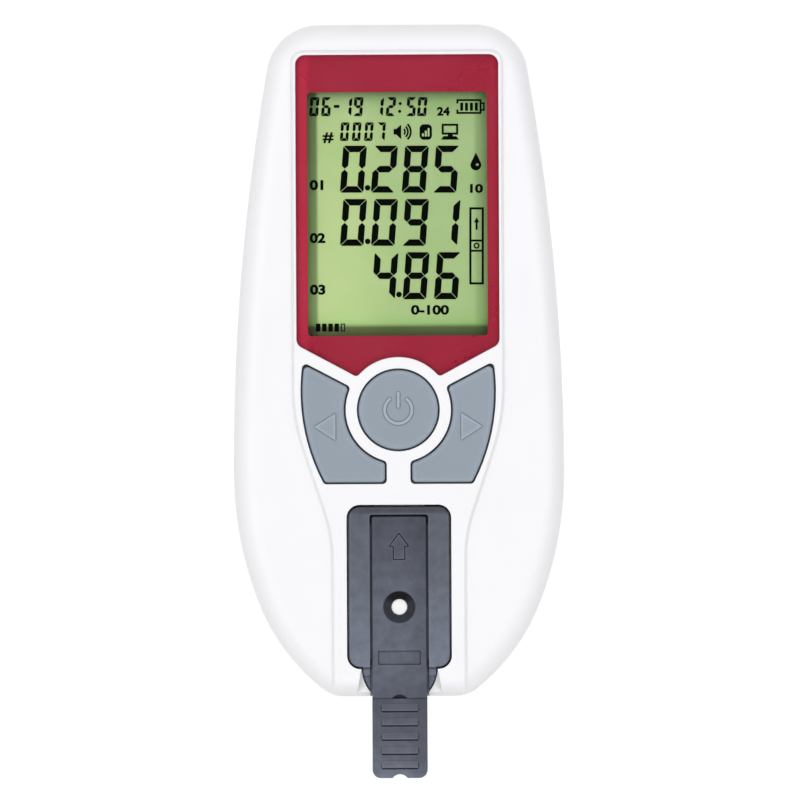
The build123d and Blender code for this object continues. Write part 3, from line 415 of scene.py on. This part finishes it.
def strip_painted_light(tree):
    """Painted light and shade on the strip: along it, darker on its right, and in its funnel a painted
    reflection of the dark ceiling, darkest towards the upper end.
    """
    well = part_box("reaction_pad")
    centre = (well[0] + well[1]) / 2
    flat = tree.nodes.new("ShaderNodeCombineXYZ")
    tree.links.new(axis(tree, "X"), flat.inputs["X"])
    tree.links.new(axis(tree, "Y"), flat.inputs["Y"])
    offset = vector_node(tree, "SUBTRACT", flat.outputs["Vector"], (centre.x, centre.y, 0))
    towards = tree.nodes.new("ShaderNodeSeparateXYZ")
    unit = vector_node(tree, "NORMALIZE", offset.outputs["Vector"])
    tree.links.new(unit.outputs["Vector"], towards.inputs["Vector"])
    painted_reflection = span(tree, towards.outputs["Y"], 0.3, 0.85, 0.3, 0.02)
    away = vector_node(tree, "LENGTH", offset.outputs["Vector"]).outputs["Value"]
    outside = span(tree, away, FUNNEL_LIP - FUNNEL_LIP_BLEND, FUNNEL_LIP)
    ring = math_node(tree, "MAXIMUM", painted_reflection, outside)
    along = along_strip(
        (-77.0, 1.38), (-73.0, 0.93), (-62.0, 0.69), (-57.0, 0.92),
        (-50.0, 1.03), (-38.0, 0.92), (-30.0, 0.7), (-23.0, 0.6),
    )
    right = ramp(tree, span(tree, axis(tree, "X"), 1 * MM, 5.5 * MM), [(0.0, grey(1.0)), (1.0, grey(0.8))])
    around = blend_colour(tree, 1.0, ring, right, "MULTIPLY")
    return blend_colour(tree, 1.0, around, along(tree), "MULTIPLY")


# Painted light and shade along the holder: its ears lit, a painted shadow in the corner above them, its main
# part, and painted shade over its rounded upper edge
holder_painted_light = along_strip(
    (-58.0, 1.5), (-54.75, 1.4), (-54.6, 0.4), (-54.3, 0.4), (-54.2, 1.35),
    (-50.0, 1.24), (-35.0, 0.88), (-23.1, 0.76), (-22.6, 0.45), (-21.4, 0.3),
)


def red_painted_light(tree):
    """Painted light on the red print: paler along its sides, most of all on the left."""
    return ramp(tree, span(tree, axis(tree, "X"), -BEZEL_HALF, BEZEL_HALF), [
        (0.0, grey(1.05)),
        (0.02, grey(1.35)),
        (0.045, grey(1.3)),
        (0.07, grey(1.0)),
        (0.95, grey(1.0)),
        (0.98, grey(1.12)),
        (1.0, grey(0.95)),
    ])


# The materials below paint shade into their crevices; the keys, holder and strip get pale rims that are
# partly wear and partly painted highlight; the holder, strip and red print get painted light and shade along
# them.
case_white = moulded("case_white", srgb(244, 244, 246), 0.006, 0.42, 3200, 0.006 * MM,
                     crevice_shade=0.26, reach=3.0, mouth=0.985)
key_grey = moulded("key_grey", srgb(144, 155, 167), 0.04, 0.5, 3600, 0.01 * MM,
                   wear_and_highlight=0.7, rim=0.95, crevice_shade=0.65, reach=0.35)
holder_grey = moulded("holder_grey", srgb(95, 101, 114), 0.15, 0.42, 2600, 0.02 * MM, wear_and_highlight=0.25, patches=420,
                      crevice_shade=0.6, reach=0.6, tint=holder_painted_light)
strip_grey = moulded("strip_grey", srgb(94, 98, 111), 0.15, 0.4, 2400, 0.02 * MM, wear_and_highlight=0.25, patches=420,
                     crevice_shade=0.75, reach=0.5, gloss=0.3, tint=strip_painted_light)
frame_dark = moulded("frame_dark", srgb(34, 34, 37), 0.08, 0.5, 2500, 0.015 * MM)
switch_black = moulded("switch_black", srgb(26, 26, 29), 0.08, 0.38, 2500, 0.01 * MM)
foot_rubber = moulded("foot_rubber", srgb(58, 59, 62), 0.1, 0.75, 1800, 0.03 * MM)
bezel_red = moulded("bezel_red", srgb(163, 33, 57), 0.04, 0.3, 4200, 0.003 * MM, patches=22, tint=red_painted_light)
light_guide = moulded("light_guide", srgb(226, 232, 214), 0.02, 0.3, 2500, 0.005 * MM)
emitter = moulded("emitter", srgb(238, 236, 196), 0.03, 0.2, 2500, 0.004 * MM)
ink = moulded("display_ink", srgb(6, 10, 7), 0.1, 0.5, 4000, 0.002 * MM, gloss=0.0)
ink_gap = moulded("display_gap", srgb(176, 198, 144), 0.03, 0.5, 4000, 0.002 * MM)
clear_lens = clear("clear_lens", (0.98, 0.985, 0.985, 1.0), 0.0, 0.02)
clear_window = clear("clear_window", (0.95, 0.97, 0.97, 1.0), 0.02, 0.06)
metal_can = plated("metal_can", srgb(196, 198, 200), 0.3, (1, 14, 1))
spring_steel = plated("spring_steel", srgb(190, 191, 194), 0.25, (1, 1, 1), 2.0)
contact_plate = plated("contact_plate", srgb(205, 202, 190), 0.28, (1, 1, 10))
screw_steel = plated("screw_steel", srgb(150, 152, 156), 0.3, (1, 1, 1), 2.0)

FINISH = {
    "case_white": case_white,
    "clear_lens": clear_lens,
    "bezel_red": bezel_red,
    "display": display_material(),
    "light_guide": light_guide,
    "foot_rubber": foot_rubber,
    "frame_dark": frame_dark,
    "key_grey": key_grey,
    "switch_black": switch_black,
    "holder_grey": holder_grey,
    "strip_grey": strip_grey,
    "membrane": membrane_material(),
    "board_green": board_material(),
    "chip_black": chip_material(),
    "metal_can": metal_can,
    "clear_window": clear_window,
    "emitter": emitter,
    "cell_wrap": cell_material(),
    "spring_steel": spring_steel,
    "contact_plate": contact_plate,
    "screw_steel": screw_steel,
}

for part in frame["record"]["subparts"]:
    piece = nodes[part["node"]]
    piece.data.materials.clear()
    piece.data.materials.append(FINISH[part["material_slot"]])


# Signs on the display, placed by the photograph's pixels

def on_glass(x, y):
    """The point of the glass's top that a pixel shows."""
    size = SENSOR / LENS * (CAMERA_REACH + SHARP_HEIGHT - GLASS_TOP) / IMAGE
    right = (x - IMAGE / 2) * size
    up = (IMAGE / 2 - y) * size
    turn_x = math.cos(CAMERA_ROLL)
    turn_y = math.sin(CAMERA_ROLL)
    lean = (GLASS_TOP - SHARP_HEIGHT) * math.tan(CAMERA_LEAN)
    return CAMERA_X + lean + right * turn_x - up * turn_y, CAMERA_Y + right * turn_y + up * turn_x


def plates(name, outlines, finish=ink, level=1):
    """Thin plates on the glass from closed outlines of pixels; a pair of outlines makes a ring."""
    points = []
    faces = []

    def put(x, y, z):
        at_x, at_y = on_glass(x, y)
        points.append((at_x, at_y, z))

    low = GLASS_TOP - INK_THICKNESS / 4
    high = GLASS_TOP + INK_THICKNESS * level
    for outline in outlines:
        if isinstance(outline, tuple):
            outer, inner = outline
            count = len(outer)
            first = len(points)
            for ring, z in ((outer, high), (inner, high), (outer, low), (inner, low)):
                for x, y in ring:
                    put(x, y, z)
            for i in range(count):
                j = (i + 1) % count
                a, b, c, d = first, first + count, first + 2 * count, first + 3 * count
                faces.append((a + i, a + j, b + j, b + i))
                faces.append((c + j, c + i, d + i, d + j))
                faces.append((a + j, a + i, c + i, c + j))
                faces.append((b + i, b + j, d + j, d + i))
        else:
            count = len(outline)
            first = len(points)
            for z in (high, low):
                for x, y in outline:
                    put(x, y, z)
            faces.append(tuple(range(first, first + count)))
            faces.append(tuple(range(first + 2 * count - 1, first + count - 1, -1)))
            for i in range(count):
                j = (i + 1) % count
                faces.append((first + j, first + i, first + count + i, first + count + j))
    mesh = bpy.data.meshes.new(name)
    mesh.from_pydata(points, [], faces)
    mesh.update()
    edit = bmesh.new()
    edit.from_mesh(mesh)
    bmesh.ops.recalc_face_normals(edit, faces=edit.faces)
    edit.to_mesh(mesh)
    edit.free()
    mesh.materials.append(finish)
    piece = bpy.data.objects.new(name, mesh)
    bpy.context.scene.collection.objects.link(piece)
    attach(piece, "housing")


def disc(x, y, radius, count=28):
    """Outline of a round spot."""
    turns = [2 * math.pi * i / count for i in range(count)]
    return [(x + radius * math.cos(t), y + radius * math.sin(t)) for t in turns]


def bar(x0, y0, x1, y1):
    """Outline of a rectangle."""
    return [(x0, y0), (x1, y0), (x1, y1), (x0, y1)]


def line_box(x0, y0, x1, y1, line):
    """A rectangle drawn with a line."""
    return bar(x0, y0, x1, y1), bar(x0 + line, y0 + line, x1 - line, y1 - line)


def rounded_bar(x0, y0, x1, y1, radius, count=6):
    """Outline of a rectangle with round corners."""
    outline = []
    corners = ((x1 - radius, y1 - radius, 0), (x0 + radius, y1 - radius, 90),
               (x0 + radius, y0 + radius, 180), (x1 - radius, y0 + radius, 270))
    for x, y, start in corners:
        for i in range(count + 1):
            turn = math.radians(start + 90 * i / count)
            outline.append((x + radius * math.cos(turn), y + radius * math.sin(turn)))
    return outline


def band(x, y, radius, line, start, end, count=10):
    """Outline of an arc drawn with a line."""
    turns = [math.radians(start + (end - start) * i / count) for i in range(count + 1)]
    outer = [(x + (radius + line / 2) * math.cos(t), y + (radius + line / 2) * math.sin(t)) for t in turns]
    inner = [(x + (radius - line / 2) * math.cos(t), y + (radius - line / 2) * math.sin(t)) for t in turns]
    return outer + inner[::-1]


# The lit segments of each digit: a above, b and c on the right, d below, e and f on the left, g in the middle
SEGMENTS = {
    "0": "abcdef",
    "1": "bc",
    "2": "abged",
    "3": "abgcd",
    "4": "fgbc",
    "5": "afgcd",
    "6": "afgedc",
    "7": "abc",
    "8": "abcdefg",
    "9": "abcdfg",
}
DIGIT_SLANT = 0.075

# Width, line, gap between segments and corner of each size of digit, in pixels
VALUE_DIGIT = (27.2, 6.5, 0.35, 1.6)
CLOCK_DIGIT = (10.6, 3.1, 0.22, 0.7)
COUNT_DIGIT = (9.8, 3.0, 0.22, 0.7)
POINT_RADIUS = 2.8
COLON_RADIUS = 1.6


def digit(value, left, top, bottom, size):
    """Outlines of a slanted segment digit whose box of pixels starts at left."""
    width, line, gap, corner = size
    h = bottom - top
    w = width - DIGIT_SLANT * h
    m = h / 2
    cut = corner / 2
    half = line / 2
    near = line + gap
    shapes = {
        "a": [(corner, h), (w - corner, h), (w - cut - gap, h - cut), (w - near, h - line),
              (near, h - line), (cut + gap, h - cut)],
        "d": [(corner, 0), (w - corner, 0), (w - cut - gap, cut), (w - near, line),
              (near, line), (cut + gap, cut)],
        "b": [(w, h - corner), (w - cut, h - cut - gap), (w - line, h - near),
              (w - line, m + half + gap), (w - half, m + gap), (w, m + half + gap / 2)],
        "c": [(w, corner), (w - cut, cut + gap), (w - line, near),
              (w - line, m - half - gap), (w - half, m - gap), (w, m - half - gap / 2)],
        "f": [(0, h - corner), (cut, h - cut - gap), (line, h - near),
              (line, m + half + gap), (half, m + gap), (0, m + half + gap / 2)],
        "e": [(0, corner), (cut, cut + gap), (line, near),
              (line, m - half - gap), (half, m - gap), (0, m - half - gap / 2)],
        "g": [(half + gap, m), (near, m + half), (w - near, m + half), (w - half - gap, m),
              (w - near, m - half), (near, m - half)],
    }
    return [[(left + x + DIGIT_SLANT * y, bottom - y) for x, y in shapes[k]] for k in SEGMENTS[value]]


def row_of_digits(text, lefts, top, bottom, size):
    """Outlines of several digits."""
    outlines = []
    for value, left in zip(text, lefts):
        outlines += digit(value, left, top, bottom, size)
    return outlines


def value_row(name, text, lefts, top, bottom, point):
    """A line of large digits with its decimal point."""
    digits = row_of_digits(text, lefts, top, bottom, VALUE_DIGIT)
    plates(name, digits + [disc(*point, POINT_RADIUS)])


clock_lefts = (309, 321, 342, 353, 373.6, 385.7, 406, 417)
clock = row_of_digits("06191250", clock_lefts, 97.2, 116.2, CLOCK_DIGIT)
dash = bar(333.8, 105, 339.4, 107.9)
colon = [disc(400.2, 103.6, COLON_RADIUS, 16), disc(399.7, 111.4, COLON_RADIUS, 16)]
plates("clock_digits", clock + [dash] + colon)
plates("count_digits", row_of_digits("0007", (339.8, 351.8, 364, 376.2), 122.4, 141, COUNT_DIGIT))
value_row("first_value", "0285", (339.8, 370.8, 401.7, 432.6), 145.7, 192.7, (367.6, 187.8))
value_row("second_value", "0091", (339.9, 370.9, 401.9, 433.4), 199, 245.9, (367.7, 241.4))
value_row("third_value", "486", (371.3, 402.5, 433.9), 252.2, 299.3, (399, 294.5))

plates("battery_sign", [
    bar(456.4, 99.2, 481.5, 101.2),
    bar(456.4, 112, 481.5, 114),
    bar(479.6, 101.2, 481.5, 112),
    bar(456.4, 101.2, 458.4, 103.6),
    bar(456.4, 109.6, 458.4, 112),
    bar(460.2, 102.8, 463.2, 110.8),
    bar(465, 102.8, 468, 110.8),
    bar(469.9, 102.8, 472.9, 110.8),
    bar(474.8, 102.8, 477.8, 110.8),
    bar(481.5, 102.4, 484.7, 104.1),
    bar(481.5, 109.2, 484.7, 110.9),
    bar(483, 104.1, 484.7, 109.2),
])
plates("sound_sign", [
    bar(393.6, 129, 396.2, 134.6),
    [(396.2, 129), (401.2, 124.6), (401.2, 139.2), (396.2, 134.6)],
    band(400.6, 131.8, 4.4, 1.9, -40, 40),
    band(400.6, 131.8, 7.3, 1.9, -45, 45),
    band(400.6, 131.8, 10.2, 2.0, -48, 48),
])
plates("signal_sign", [rounded_bar(419.6, 124.4, 432, 139.9, 4.2)])
plates("signal_bars", [
    bar(422.1, 133.4, 423.9, 136.4),
    bar(424.9, 130.8, 426.7, 136.4),
    bar(427.7, 128.2, 429.5, 136.4),
], ink_gap, 1.6)
plates("computer_sign", [
    line_box(441.7, 123.8, 458.2, 134.7, 2.1),
    bar(447.8, 134.7, 452.8, 136.2),
    [(443.6, 136.2), (456.2, 136.2), (459, 139.7), (440.9, 139.7)],
])


def drop(x, tip, centre, radius):
    """Outline of a drop."""
    tangent = math.asin(radius / (centre - tip))
    start = -tangent
    end = math.pi + tangent
    round_part = [(x + radius * math.cos(start + (end - start) * i / 26),
                   centre + radius * math.sin(start + (end - start) * i / 26)) for i in range(27)]
    return [(x, tip)] + round_part


def drop_ring(x, tip, centre, radius, hole_x, hole_y, hole):
    """A drop with a round light spot."""
    outer = drop(x, tip, centre, radius)
    turns = [math.atan2(py - hole_y, px - hole_x) for px, py in outer]
    inner = [(hole_x + hole * math.cos(t), hole_y + hole * math.sin(t)) for t in turns]
    return outer, inner


plates("drop_sign", [drop_ring(475.9, 152.6, 165, 5.4, 477.3, 164.6, 1.4)])
plates("strip_sign", [
    line_box(469.3, 207.3, 483.9, 284.5, 2.2),
    bar(471.5, 239.6, 481.7, 241.6),
    bar(471.5, 249.8, 481.7, 251.8),
    bar(475.6, 221.4, 477.6, 229.8),
    [(476.6, 217.4), (479.4, 222.4), (473.8, 222.4)],
    (disc(476.6, 245.7, 3.1, 20), disc(476.6, 245.7, 1.5, 20)),
])
plates("progress_sign", [bar(316 + 6.2 * i, 323.6, 320.4 + 6.2 * i, 331.6) for i in range(4)]
       + [line_box(340.8, 323.6, 345.2, 331.6, 1.1)])


def number(name, text, x0, y0, x1, y1, weight):
    """A plain printed number that fills a box of pixels."""
    curve = bpy.data.curves.new(name, "FONT")
    curve.body = text
    curve.offset = weight
    curve.extrude = 0.01
    holder = bpy.data.objects.new(name + "_text", curve)
    bpy.context.scene.collection.objects.link(holder)
    bpy.context.view_layer.update()
    mesh = bpy.data.meshes.new_from_object(holder.evaluated_get(bpy.context.evaluated_depsgraph_get()))
    bpy.data.objects.remove(holder)
    xs = [v.co.x for v in mesh.vertices]
    ys = [v.co.y for v in mesh.vertices]
    for v in mesh.vertices:
        x = x0 + (v.co.x - min(xs)) / (max(xs) - min(xs)) * (x1 - x0)
        y = y1 - (v.co.y - min(ys)) / (max(ys) - min(ys)) * (y1 - y0)
        z = GLASS_TOP + INK_THICKNESS if v.co.z > 0 else GLASS_TOP - INK_THICKNESS / 4
        v.co = (*on_glass(x, y), z)
    mesh.materials.clear()
    mesh.materials.append(ink)
    mesh.name = name
    piece = bpy.data.objects.new(name, mesh)
    bpy.context.scene.collection.objects.link(piece)
    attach(piece, "housing")


number("first_row_number", "01", 309.6, 180, 323.4, 190.2, 0.045)
number("second_row_number", "02", 309.8, 233, 325.4, 243.2, 0.045)
number("third_row_number", "03", 310, 284.6, 325.4, 294.8, 0.045)
number("drop_number", "10", 470, 184, 483, 193, 0.045)
number("hours_number", "24", 437, 107, 449.8, 115.8, 0.045)
number("count_mark", "#", 322.6, 132.4, 333.6, 143.2, 0.03)
number("range_number", "0-100", 411, 305, 449, 314.8, 0.04)


# Camera, lights and floor

camera_data = bpy.data.cameras.new("camera")
camera_data.lens = LENS
camera_data.sensor_width = SENSOR
camera_data.clip_start = 0.01
camera_data.clip_end = 20
camera = bpy.data.objects.new("camera", camera_data)
camera.rotation_euler = (0, CAMERA_LEAN, CAMERA_ROLL)
backwards = Vector((0, 0, CAMERA_REACH))
backwards.rotate(camera.rotation_euler)
camera.location = Vector((CAMERA_X, CAMERA_Y, SHARP_HEIGHT)) + backwards
bpy.context.scene.collection.objects.link(camera)
bpy.context.scene.camera = camera


def lamp(name, spot, size, level):
    """A square soft light that looks at the object; level is its brightness."""
    data = bpy.data.lights.new(name, "AREA")
    data.shape = "SQUARE"
    data.size = size
    data.energy = math.pi * size * size * level
    thing = bpy.data.objects.new(name, data)
    thing.location = spot
    thing.rotation_euler = (-Vector(spot)).to_track_quat("-Z", "Y").to_euler()
    bpy.context.scene.collection.objects.link(thing)


lamp("left_light", (-1.2, 0.2, 1.7), 1.3, 2.0)
lamp("right_light", (1.2, 0.2, 1.7), 1.3, 1.65)
lamp("upper_light", (0.0, 1.3, 1.7), 1.2, 1.5)
lamp("lower_light", (0.0, -1.3, 1.7), 1.2, 2.3)

world = bpy.data.worlds.new("studio")
world.use_nodes = True
bpy.context.scene.world = world
sky = world.node_tree
background = sky.nodes["Background"]
paths = sky.nodes.new("ShaderNodeLightPath")
direction = sky.nodes.new("ShaderNodeSeparateXYZ")
sky.links.new(sky.nodes.new("ShaderNodeTexCoord").outputs["Generated"], direction.inputs["Vector"])
# The studio's ceiling is dark right above the object, so that it leaves no veil on the lens. It counts as
# white for the camera, and for light that reaches the camera straight through the lens from below.
ring = span(sky, direction.outputs["Z"], 0.35, 0.8, 0.42, 0.57)
overhead = math_node(sky, "MULTIPLY", ring, span(sky, direction.outputs["Z"], 0.9, 0.97, 1.0, 0.04))
downwards = math_node(sky, "LESS_THAN", direction.outputs["Z"], 0.0)
let_through = math_node(sky, "MULTIPLY", paths.outputs["Is Transmission Ray"], downwards)
seen = math_node(sky, "MAXIMUM", paths.outputs["Is Camera Ray"], let_through)
backdrop = sky.nodes.new("ShaderNodeMix")
sky.links.new(seen, backdrop.inputs[0])
sky.links.new(overhead, backdrop.inputs[2])
backdrop.inputs[3].default_value = 1.0
sky.links.new(backdrop.outputs[0], background.inputs["Strength"])
background.inputs["Color"].default_value = (1.0, 1.0, 1.0, 1.0)


def floor_material():
    """White floor that keeps a faint shadow, and is clear from below."""
    material = bpy.data.materials.new("floor_white")
    material.use_nodes = True
    tree = material.node_tree
    tree.nodes.remove(tree.nodes["Principled BSDF"])
    speck = ramp(tree, noise(tree, 30, 2), [(0.0, (0.995, 0.995, 0.995, 1)), (1.0, (1, 1, 1, 1))])
    glow = tree.nodes.new("ShaderNodeEmission")
    glow.inputs["Strength"].default_value = 0.95
    tree.links.new(speck, glow.inputs["Color"])
    faint = tree.nodes.new("ShaderNodeBsdfDiffuse")
    faint.inputs["Color"].default_value = (0.08, 0.08, 0.08, 1)
    shown = tree.nodes.new("ShaderNodeAddShader")
    tree.links.new(glow.outputs["Emission"], shown.inputs[0])
    tree.links.new(faint.outputs["BSDF"], shown.inputs[1])
    plain = tree.nodes.new("ShaderNodeBsdfDiffuse")
    plain.inputs["Color"].default_value = (0.85, 0.85, 0.85, 1)
    rays = tree.nodes.new("ShaderNodeLightPath")
    direct = math_node(tree, "MAXIMUM", rays.outputs["Is Camera Ray"], rays.outputs["Is Glossy Ray"])
    direct = math_node(tree, "MAXIMUM", direct, rays.outputs["Is Transmission Ray"])
    top = tree.nodes.new("ShaderNodeMixShader")
    tree.links.new(direct, top.inputs["Fac"])
    tree.links.new(plain.outputs["BSDF"], top.inputs[1])
    tree.links.new(shown.outputs["Shader"], top.inputs[2])
    geometry = tree.nodes.new("ShaderNodeNewGeometry")
    below = tree.nodes.new("ShaderNodeMixShader")
    clear_side = tree.nodes.new("ShaderNodeBsdfTransparent")
    tree.links.new(geometry.outputs["Backfacing"], below.inputs["Fac"])
    tree.links.new(top.outputs["Shader"], below.inputs[1])
    tree.links.new(clear_side.outputs["BSDF"], below.inputs[2])
    tree.links.new(below.outputs["Shader"], tree.nodes["Material Output"].inputs["Surface"])
    return material


floor_mesh = bpy.data.meshes.new("floor")
floor_corners = [(x * FLOOR_HALF, y * FLOOR_HALF, 0) for x, y in ((-1, -1), (1, -1), (1, 1), (-1, 1))]
floor_mesh.from_pydata(floor_corners, [], [(0, 1, 2, 3)])
floor_mesh.materials.append(floor_material())
floor = bpy.data.objects.new("floor", floor_mesh)
floor.location.z = -FLOOR_DROP
bpy.context.scene.collection.objects.link(floor)

bpy.context.scene.view_settings.view_transform = "Standard"
